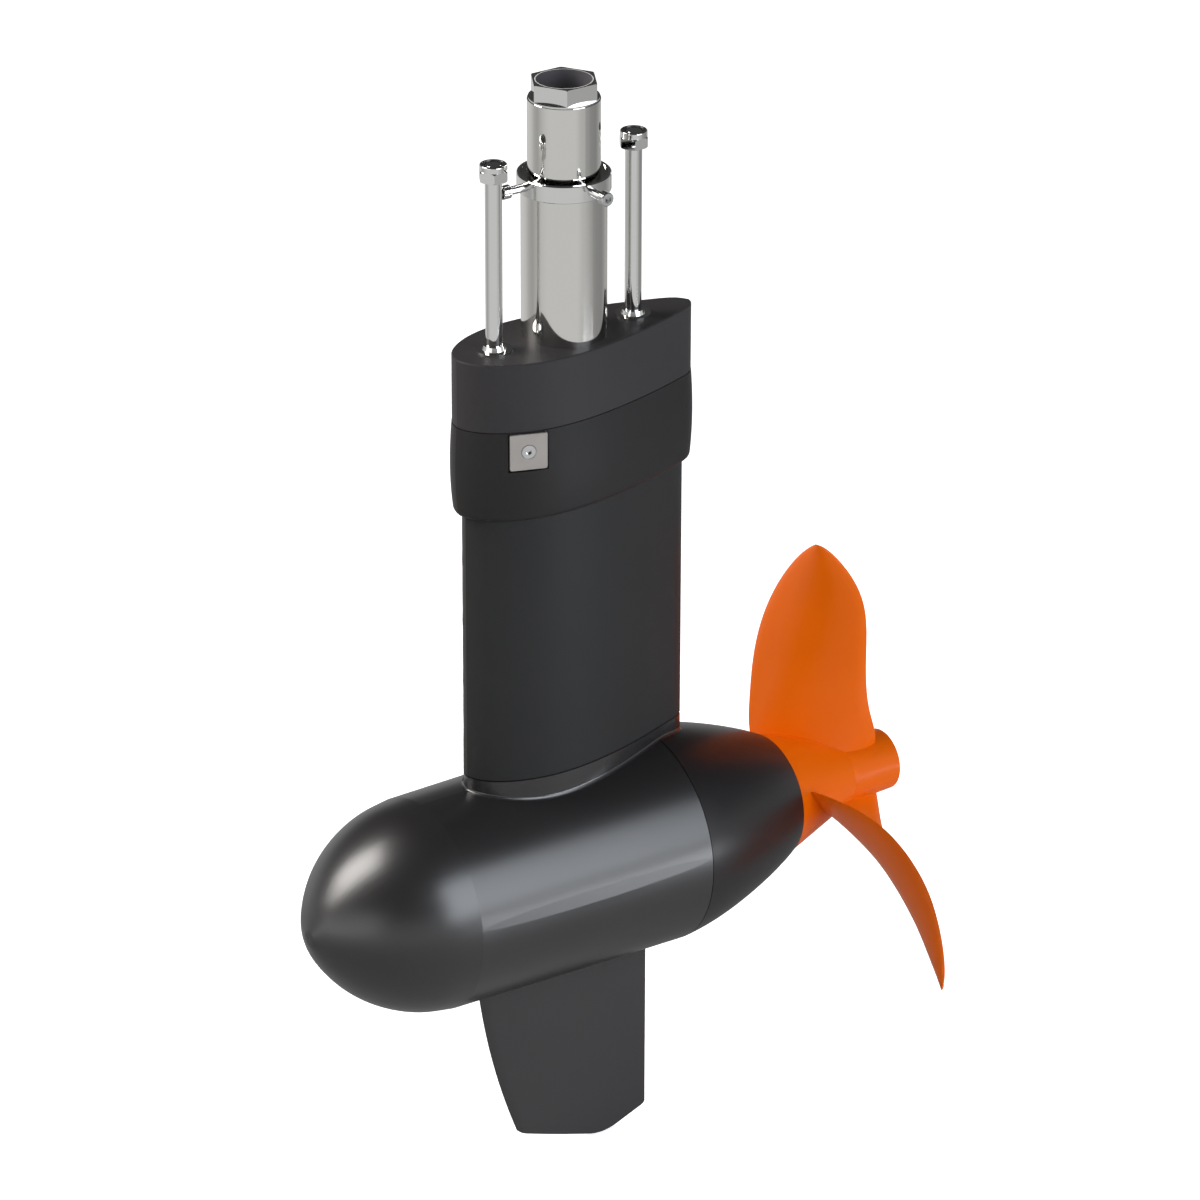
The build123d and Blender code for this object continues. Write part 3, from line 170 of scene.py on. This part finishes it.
def rays(graph, *kinds):
    """1 for the named kinds of ray, and 0 for all others."""
    path = graph.node("LightPath").socket.node
    total, *others = [Signal(graph, path.outputs["Is " + kind + " Ray"]) for kind in kinds]
    for other in others:
        total = total + other
    return total.limited()


def parts_of(graph, vector):
    """The X, Y and Z of a vector."""
    split = graph.node("SeparateXYZ", None, {0: vector}).socket.node
    return [Signal(graph, socket) for socket in split.outputs]


MIRRORED = 0.64
# The room's tones in reflections, from the horizon to straight above
ROOM_TONES = ((0.06, MIRRORED), (0.20, 0.22), (0.34, 0.05))
ROOM_LIGHT = (0.14, 0.14, 0.143, 1.0)
ROOM_SEEN = (1.0, 1.0, 1.0, 1.0)
room = bpy.data.worlds.new("room")
bpy.context.scene.world = room
room.use_nodes = True
room_graph = Graph(room.node_tree)
room_height = parts_of(room_graph, room_graph.node("TexCoord"))[2]
room_image = room_graph.node("ValToRGB", {"stops": ROOM_TONES}, {0: room_height})
room_all = tint(room_graph, rays(room_graph, "Glossy", "Transmission"), ROOM_LIGHT, room_image)
room_all = tint(room_graph, rays(room_graph, "Camera"), room_all, ROOM_SEEN)
room_graph.feed(room.node_tree.nodes["Background"].inputs["Color"], room_all)

SWEEP_SIZE = 30.0
SWEEP_DROP = 0.0006
SWEEP_COLOUR = (0.94, 0.94, 0.94, 1.0)
SWEEP_GLOW = 0.72
# The sweep's tones in reflections, far out, by the bearing round the stem: from behind the pod,
# round by its far side, the nose and the anode's side, and back again
FAR_TONES = (
    (0.0, 0.47), (0.10, 0.86), (0.264, 1.0), (0.317, 0.91), (0.361, 0.68),
    (0.40, 0.60), (0.46, 0.84), (0.50, 0.93), (0.528, 0.97), (0.75, 0.97),
    (0.772, 0.91), (0.794, 0.81), (0.819, 0.75), (0.847, 0.65), (0.875, 0.55),
    (0.908, 0.44), (0.944, 0.42), (0.975, 0.40), (1.0, 0.47),
)
# The same close to the fin, in the shade of the object itself
NEAR_TONES = (
    (0.0, 0.40), (0.08, 0.50), (0.16, 0.60), (0.36, 0.60), (0.43, 0.54),
    (0.58, 0.54), (0.66, 0.62), (0.85, 0.64), (0.93, 0.50), (1.0, 0.40),
)
NEAR_END = 0.7
FAR_START = 1.3
bpy.ops.mesh.primitive_plane_add(size=SWEEP_SIZE, location=(0, 0, frame_box[0].z - SWEEP_DROP))
sweep = bpy.context.object
sweep.name = "sweep"
paper = bpy.data.materials.new("sweep_paper")
paper.use_nodes = True
sweep_graph = Graph(paper.node_tree)
sweep_x, sweep_y = parts_of(sweep_graph, sweep_graph.node("NewGeometry"))[:2]
bearing = sweep_graph.node("Math", {"operation": "ARCTAN2"}, {0: sweep_x, 1: 0.0 - sweep_y})
bearing = bearing / (2 * pi) + 0.5
far_image = sweep_graph.node("ValToRGB", {"stops": FAR_TONES}, {0: bearing})
near_image = sweep_graph.node("ValToRGB", {"stops": NEAR_TONES}, {0: bearing})
away = (sweep_x * sweep_x + sweep_y * sweep_y) ** 0.5
far_share = ((away - NEAR_END) / (FAR_START - NEAR_END)).limited()
sweep_tones = tint(sweep_graph, far_share, near_image, far_image)
sweep_image = sweep_graph.node("Emission", None, {"Color": sweep_tones, "Strength": MIRRORED})
sweep_matt = sweep_graph.node("BsdfDiffuse", None, {"Color": SWEEP_COLOUR})
seen_glow = rays(sweep_graph, "Camera") * SWEEP_GLOW
sweep_glow = sweep_graph.node("Emission", None, {"Strength": seen_glow})
sweep_seen = sweep_graph.node("AddShader", None, {0: sweep_matt, 1: sweep_glow})
mirrored = rays(sweep_graph, "Glossy", "Transmission")
sweep_all = sweep_graph.node("MixShader", None, {0: mirrored, 1: sweep_seen, 2: sweep_image})
sweep_graph.feed(paper.node_tree.nodes["Material Output"].inputs["Surface"], sweep_all)
sweep.data.materials.append(paper)
bpy.ops.object.select_all(action="DESELECT")

LAMP_AIM = Vector((0.0, 0.03, -0.30))


def softbox(name, azimuth, rise, width, height, away, power, colour):
    """A lamp that faces the object, as wide and high as it looks from there, in degrees."""
    lamp = bpy.data.lights.new(name, "AREA")
    lamp.shape = "RECTANGLE"
    lamp.size = 2 * away * tan(radians(width / 2))
    lamp.size_y = 2 * away * tan(radians(height / 2))
    lamp.energy = power
    lamp.color = colour
    holder = bpy.data.objects.new(name, lamp)
    bpy.context.scene.collection.objects.link(holder)
    side = radians(azimuth)
    up = radians(rise)
    way = Vector((sin(side) * cos(up), -cos(side) * cos(up), sin(up)))
    holder.location = LAMP_AIM + way * away
    holder.rotation_euler = (-way).to_track_quat("-Z", "Y").to_euler()
    holder.visible_camera = False


softbox(
    "lamp_left", azimuth=-36, rise=42, width=28, height=36,
    away=3.0, power=90, colour=(1.0, 0.965, 0.93),
)
softbox(
    "lamp_right", azimuth=105, rise=22, width=38, height=40,
    away=3.0, power=62, colour=(0.88, 0.93, 1.0),
)
softbox(
    "lamp_front", azimuth=5, rise=6, width=56, height=26,
    away=3.0, power=12, colour=(1.0, 0.99, 0.98),
)
softbox(
    "lamp_low", azimuth=122, rise=-13, width=30, height=4,
    away=1.25, power=2.8, colour=(0.90, 0.94, 1.0),
)


# Hull block: the thick pad under the hull, cast in aluminium and painted a fine matt black.
# Its top carries the hull's weight, and its lower edge meets the strut's head.
CLOUD_SCALE = 9.0
CLOUD_DETAIL = 3.0
CLOUD_GLOSS = 0.06


def paint(red, green, blue):
    """A screen colour, each channel from 0 to 255, as the linear light that shaders use."""
    linear = []
    for channel in (red, green, blue):
        share = channel / 255
        linear.append(share / 12.92 if share <= 0.04045 else ((share + 0.055) / 1.055) ** 2.4)
    return (*linear, 1.0)


def finish(name, constants):
    """A new material whose shader sockets hold their constant values."""
    material = bpy.data.materials.new(name)
    material.use_nodes = True
    graph = Graph(material.node_tree)
    graph.material = material
    graph.shader = material.node_tree.nodes["Principled BSDF"]
    for socket, value in constants.items():
        graph.shade(socket, value)
    return graph


def object_place(graph):
    """The place on the object, in metres."""
    return graph.node("TexCoord", None, None, output=3)


def speckle(graph, scale, detail=2.0, stretch=(1.0, 1.0, 1.0)):
    """Noise fixed to the object, with its grain stretched along the axes."""
    place = graph.node("Mapping", None, {"Vector": object_place(graph), "Scale": stretch})
    return graph.node("TexNoise", None, {"Vector": place, "Scale": scale, "Detail": detail})


def relief(graph, height, depth):
    """Raises the surface by a height from 0 to 1, up to a depth in metres."""
    bump = graph.node("Bump", None, {"Height": height, "Strength": 1.0, "Distance": depth})
    graph.shade("Normal", bump)


def drift(graph, cloud, dark, light, roughness, gloss):
    """Slow changes of tone between two colours, and of gloss about a middle value."""
    graph.shade("Base Color", tint(graph, cloud, paint(*dark), paint(*light)))
    graph.shade("Roughness", roughness - gloss / 2 + cloud * gloss)


def painted(name, dark, light, roughness, specular, grain, depth):
    """Paint or moulded skin: slow changes of tone and gloss over a fine grain."""
    graph = finish(name, {"Metallic": 0.0, "Specular IOR Level": specular})
    drift(graph, speckle(graph, CLOUD_SCALE, CLOUD_DETAIL), dark, light, roughness, CLOUD_GLOSS)
    relief(graph, speckle(graph, grain), depth)
    return graph


def dress(graph, *names):
    """Puts a finish on CAD nodes."""
    for name in names:
        for slot in nodes[name].material_slots:
            slot.material = graph.material


block_paint = painted(
    "block_paint", (50, 48, 49), (57, 55, 56),
    roughness=0.50, specular=0.12, grain=1400.0, depth=0.00004,
)
dress(block_paint, "hull_block")


# Stem: a stainless tube turned and polished, pressed into the block. Its upper end has a thin
# collar, clamped by two socket screws that reach in to the cable tube.
TURNED = (0.06, 0.06, 1.0)
POLISH_SCALE = 14.0
POLISH_BRIGHT = 1.05
POLISH_GLOSS = 0.5
BRIGHT_STEEL = (230, 230, 228)


def turned_marks(graph, lines, depth):
    """Fine rings round the axis, as a lathe leaves."""
    marks = speckle(graph, lines, stretch=TURNED)
    relief(graph, marks, depth)
    return marks


def polished(name, colour, roughness, lines, depth):
    """Bright metal with faint rings that vary its gloss, and slow changes of tone."""
    graph = finish(name, {"Metallic": 1.0})
    marks = turned_marks(graph, lines, depth)
    dark = paint(*colour)
    bright = tuple(min(1.0, POLISH_BRIGHT * channel) for channel in dark)
    graph.shade("Base Color", tint(graph, speckle(graph, POLISH_SCALE), dark, bright))
    graph.shade("Roughness", roughness + marks * roughness * POLISH_GLOSS)
    return graph


stem_steel = polished("stem_steel", (228, 227, 223), roughness=0.06, lines=700.0, depth=0.000002)
collar_steel = polished("collar_steel", BRIGHT_STEEL, roughness=0.05, lines=900.0, depth=0.000002)
screw_steel = polished("screw_steel", (215, 215, 215), roughness=0.10, lines=500.0, depth=0.000004)
dress(stem_steel, "stem_tube")
dress(collar_steel, "clamp_collar")
dress(screw_steel, "collar_screws")


# Cable tube: the inner stainless tube, from the pod to above the stem, with a hexagon bush
# screwed into its end. The cables leave through the bush's bore, which is dull inside.
BUSH_BORE = 0.0195
BORE_HIGHLIGHT_RING = 0.0006
BUSH_FADE = 0.000125
BORE_DULL = (92, 90, 94)
BORE_ROUGH = 0.45
BUSH_ROUGH = 0.06
dress(stem_steel, "cable_tube")
bush_steel = finish("bush_steel", {})
turned_marks(bush_steel, lines=900.0, depth=0.000002)
bush_x, bush_y = parts_of(bush_steel, object_place(bush_steel))[:2]
past_bore = ((bush_x * bush_x + bush_y * bush_y) ** 0.5 - BUSH_BORE) / BUSH_FADE
# A thin ring round the bore's mouth keeps the bright steel colour but is matt and not metal: a
# painted highlight on the bore's edge
past_highlight_ring = (past_bore - BORE_HIGHLIGHT_RING / BUSH_FADE).limited()
bush_tone = tint(bush_steel, past_bore.limited(), paint(*BORE_DULL), paint(*BRIGHT_STEEL))
bush_steel.shade("Base Color", bush_tone)
bush_steel.shade("Metallic", past_highlight_ring)
bush_steel.shade("Roughness", BORE_ROUGH - past_highlight_ring * (BORE_ROUGH - BUSH_ROUGH))
dress(bush_steel, "hex_bush")


# Studs: two bright steel bars that hold the block to the hull, with lock nuts. Each passes
# through a flanged steel bush, and a dark nylon insert grips it in the nut's top.
dress(collar_steel, "hull_studs", "stud_nuts", "stud_bushes")
nylon = painted(
    "nylon", (30, 30, 31), (38, 38, 39),
    roughness=0.45, specular=0.30, grain=900.0, depth=0.00002,
)
dress(nylon, "nut_inserts")


# Strut head: a moulded cover, bulged round the strut's upper end, with the anchor plate and
# its bolts inside. A pocket in its side holds the anode.
head_skin = painted(
    "head_skin", (38, 37, 37), (43, 42, 42),
    roughness=0.44, specular=0.13, grain=1200.0, depth=0.00003,
)
dress(head_skin, "strut_head")
milled = polished("milled", (178, 178, 180), roughness=0.30, lines=260.0, depth=0.00001)
dress(milled, "anchor_plate")
dress(screw_steel, "strut_bolts")


# Anode: a small cast zinc plate in the head's pocket, satin and slightly mottled, held by one
# countersunk screw.
MOTTLE_SCALE = 60.0
MOTTLE_DETAIL = 4.0
MOTTLE_GLOSS = 0.10
PIT_SCALE = 1500.0


def cast_metal(name, dark, light, roughness, depth):
    """Cast metal with a mottled, faintly pitted skin."""
    graph = finish(name, {"Metallic": 1.0})
    drift(graph, speckle(graph, MOTTLE_SCALE, MOTTLE_DETAIL), dark, light, roughness, MOTTLE_GLOSS)
    relief(graph, speckle(graph, PIT_SCALE), depth)
    return graph


zinc = cast_metal("zinc", (172, 167, 162), (188, 183, 178), roughness=0.42, depth=0.00002)
dress(zinc, "anode_plate")
dress(screw_steel, "anode_screw")


# Strut: a drawn aluminium foil section, satin black, cut square at both ends. A thin gasket
# closes the seam between it and the pod.
strut_skin = painted(
    "strut_skin", (43, 43, 43), (48, 48, 48),
    roughness=0.42, specular=0.08, grain=1000.0, depth=0.00002,
)
dress(strut_skin, "strut")
rubber = painted(
    "rubber", (14, 14, 14), (20, 20, 20),
    roughness=0.60, specular=0.20, grain=800.0, depth=0.00003,
)
dress(rubber, "strut_gasket")


# Pod: three aluminium castings in satin black paint, smooth enough to show the softboxes.
# The body carries the strut's pedestal and has a long narrow flat on each side.
POD_SEAM = 0.0746
SEAM_HALF = 0.0009
SEAM_SHADE_AND_DIRT = (4, 4, 4)
WALL_SLOPE = 0.5
WALL_SLOPE_FADE = 0.25
WALL_FOOT = -0.338
WALL_FOOT_FADE = 0.002
WALL_POLISH = 0.14
pod_paint = painted(
    "pod_paint", (29, 28, 29), (33, 31, 32),
    roughness=0.32, specular=1.0, grain=700.0, depth=0.000012,
)
pod_y, pod_z = parts_of(pod_paint, object_place(pod_paint))[1:]
# Painted shade of the seam's groove between the body and the cone, with a little dirt: the base
# colour goes nearly black across it
seam = (1.0 - abs(pod_y - POD_SEAM) / SEAM_HALF).limited()
paint_off_seam = pod_paint.shaded("Base Color")
pod_paint.shade("Base Color", tint(pod_paint, seam, paint_off_seam, paint(*SEAM_SHADE_AND_DIRT)))
# The pedestal's upright wall is machined, and smoother than the barrel
facing_up = parts_of(pod_paint, pod_paint.node("NewGeometry", None, None, output=1))[2]
upright = ((WALL_SLOPE - abs(facing_up)) / WALL_SLOPE_FADE).limited()
above_barrel = ((pod_z - WALL_FOOT) / WALL_FOOT_FADE).limited()
barrel_gloss = pod_paint.shaded("Roughness")
pod_paint.shade("Roughness", barrel_gloss - upright * above_barrel * WALL_POLISH)
dress(pod_paint, "pod_body", "nose_cap")
cone_paint = painted(
    "cone_paint", (28, 27, 28), (32, 30, 31),
    roughness=0.35, specular=0.48, grain=700.0, depth=0.000012,
)
dress(cone_paint, "tail_cone")
dress(rubber, "nose_o_ring", "tail_o_ring")
dress(screw_steel, "pod_bolts")


# Pedestal's fillet: the casting runs out from the pedestal's wall into the barrel and the cone
# in a small hollow curve, which catches the light. It follows the pedestal's own outline.
FILLET_CUT = -0.3220
FILLET_SIZE = 0.0020
FILLET_SINK = 0.0004
FILLET_CLEAR = 0.00005
FILLET_STEPS = 5
FILLET_SMOOTH = 40
CUT_DOUBLES = 0.000001
PROBE_TOP = 0.1
bpy.ops.object.select_all(action="DESELECT")
outline = nodes["pod_body"].copy()
outline.data = outline.data.copy()
bpy.context.scene.collection.objects.link(outline)
bpy.context.view_layer.objects.active = outline
outline.select_set(True)
bpy.ops.object.mode_set(mode="EDIT")
bpy.ops.mesh.select_all(action="SELECT")
bpy.ops.mesh.remove_doubles(threshold=CUT_DOUBLES)
bpy.ops.mesh.bisect(
    plane_co=(0, 0, FILLET_CUT), plane_no=(0, 0, 1), clear_inner=True, clear_outer=True
)
bpy.ops.object.mode_set(mode="OBJECT")
# The cut leaves loops of edges, and the one that reaches furthest forward is the outline
corners = [vertex.co.copy() for vertex in outline.data.vertices]
beside = [[] for corner in corners]
for edge in outline.data.edges:
    one, other = edge.vertices
    beside[one].append(other)
    beside[other].append(one)
bpy.data.objects.remove(outline)
spot = min(range(len(corners)), key=lambda index: corners[index].y)
loop = []
while spot is not None:
    loop.append(spot)
    spot = next((index for index in beside[spot] if index not in loop), None)
rim = [corners[index] for index in loop]


def casting_top(place):
    """The height of the barrel or the cone at a place beside the pedestal."""
    heights = []
    for name in ("pod_body", "tail_cone"):
        struck, point = nodes[name].ray_cast((place.x, place.y, PROBE_TOP), (0, 0, -1))[:2]
        if struck:
            heights.append(point.z)
    return max(heights)


# The fillet's section, as distances out from the wall and up from the barrel: the hollow curve
# down the wall and out, and then a way back inside the casting
section = []
for step in range(FILLET_STEPS + 1):
    angle = radians(90 * step / FILLET_STEPS)
    reach = max(FILLET_SIZE * (1 - cos(angle)), FILLET_CLEAR)
    section.append((reach, FILLET_SIZE * (1 - sin(angle))))
section.append((FILLET_SIZE, -FILLET_SINK))
section.append((-FILLET_SINK, -FILLET_SINK))
section.append((-FILLET_SINK, FILLET_SIZE))
fillet_points = []
fillet_faces = []
for index, corner in enumerate(rim):
    along = rim[(index + 1) % len(rim)] - rim[index - 1]
    out = Vector((along.y, -along.x, 0)).normalized()
    if out.dot(corner) < 0:
        out = -out
    here = index * len(section)
    there = (index + 1) % len(rim) * len(section)
    for step, (reach, lift) in enumerate(section):
        place = corner + out * reach
        height = casting_top(corner + out * max(reach, FILLET_CLEAR))
        fillet_points.append((place.x, place.y, height + lift))
        after = (step + 1) % len(section)
        fillet_faces.append((here + step, here + after, there + after, there + step))
fillet_mesh = bpy.data.meshes.new("pedestal_fillet")
fillet_mesh.from_pydata(fillet_points, [], fillet_faces)
fillet = bpy.data.objects.new("pedestal_fillet", fillet_mesh)
bpy.context.scene.collection.objects.link(fillet)
bpy.context.view_layer.objects.active = fillet
fillet.select_set(True)
bpy.ops.object.mode_set(mode="EDIT")
bpy.ops.mesh.select_all(action="SELECT")
bpy.ops.mesh.normals_make_consistent(inside=False)
bpy.ops.object.mode_set(mode="OBJECT")
bpy.ops.object.shade_smooth_by_angle(angle=radians(FILLET_SMOOTH))
fillet.data.materials.append(pod_paint.material)
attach(fillet, "drive_body")
bpy.ops.object.select_all(action="DESELECT")


# Fin: a flat swept foil under the pod, moulded in dark grey plastic. Bolts from inside the pod
# hold it against the barrel.
fin_skin = painted(
    "fin_skin", (57, 55, 55), (62, 60, 60),
    roughness=0.52, specular=0.20, grain=1200.0, depth=0.00003,
)
dress(fin_skin, "skeg_fin")
dress(screw_steel, "fin_bolts")


# Controller: a green board on standoffs in the nose, with power modules against the heat sink
# plate and a ring of capacitors in front.
board = painted(
    "board", (22, 72, 44), (30, 88, 54),
    roughness=0.35, specular=0.50, grain=500.0, depth=0.00001,
)
dress(board, "controller_board")
module_resin = painted(
    "module_resin", (28, 28, 30), (36, 36, 38),
    roughness=0.50, specular=0.40, grain=700.0, depth=0.00002,
)
dress(module_resin, "power_modules")
can_sleeve = painted(
    "can_sleeve", (52, 54, 60), (60, 62, 68),
    roughness=0.35, specular=0.50, grain=400.0, depth=0.00001,
)
dress(can_sleeve, "link_capacitors")
dress(screw_steel, "board_standoffs")
dress(milled, "heat_sink_plate")


# Motor: the carrier and its toothed steel core with copper coils stand still, and the bell
# with its magnets turns round them. All of it is shut in the pod.
core_steel = cast_metal(
    "core_steel", (120, 122, 126), (140, 142, 146), roughness=0.40, depth=0.00002
)
dress(core_steel, "stator_core", "rotor_bell")
dress(milled, "stator_carrier")
dress(screw_steel, "carrier_screws")
copper = polished("copper", (184, 105, 62), roughness=0.30, lines=1300.0, depth=0.00006)
dress(copper, "stator_windings")
nickel = cast_metal("nickel", (170, 168, 160), (186, 184, 176), roughness=0.25, depth=0.00001)
dress(nickel, "rotor_magnets")


# Shaft: ground steel, carried by two ball bearings, with the bell keyed to it and kept in place
# by a circlip and a spacer. A rubber lip seals it where it leaves the pod.
bearing_steel = polished(
    "bearing_steel", (200, 200, 200), roughness=0.10, lines=600.0, depth=0.000002
)
dress(bearing_steel, "prop_shaft", "shaft_spacer", "shaft_key")
dress(bearing_steel, "front_bearing_outer", "front_bearing_inner", "front_bearing_balls")
dress(bearing_steel, "rear_bearing_outer", "rear_bearing_inner", "rear_bearing_balls")
dress(screw_steel, "bearing_circlips", "bell_circlip")
dress(rubber, "shaft_seal")


# Propeller: three blades and a hub moulded in one piece of bright orange plastic, with a
# plug of the same plastic in the hub's rear end. A pin through the shaft drives it.
prop_orange = painted(
    "prop_orange", (219, 95, 0), (225, 99, 0),
    roughness=0.32, specular=0.18, grain=900.0, depth=0.00002,
)
dress(prop_orange, "propeller", "hub_cap")
bronze = polished("bronze", (190, 150, 92), roughness=0.28, lines=500.0, depth=0.000006)
dress(bronze, "thrust_washer")
dress(bearing_steel, "drive_pin")
dress(screw_steel, "prop_washer", "prop_nut")
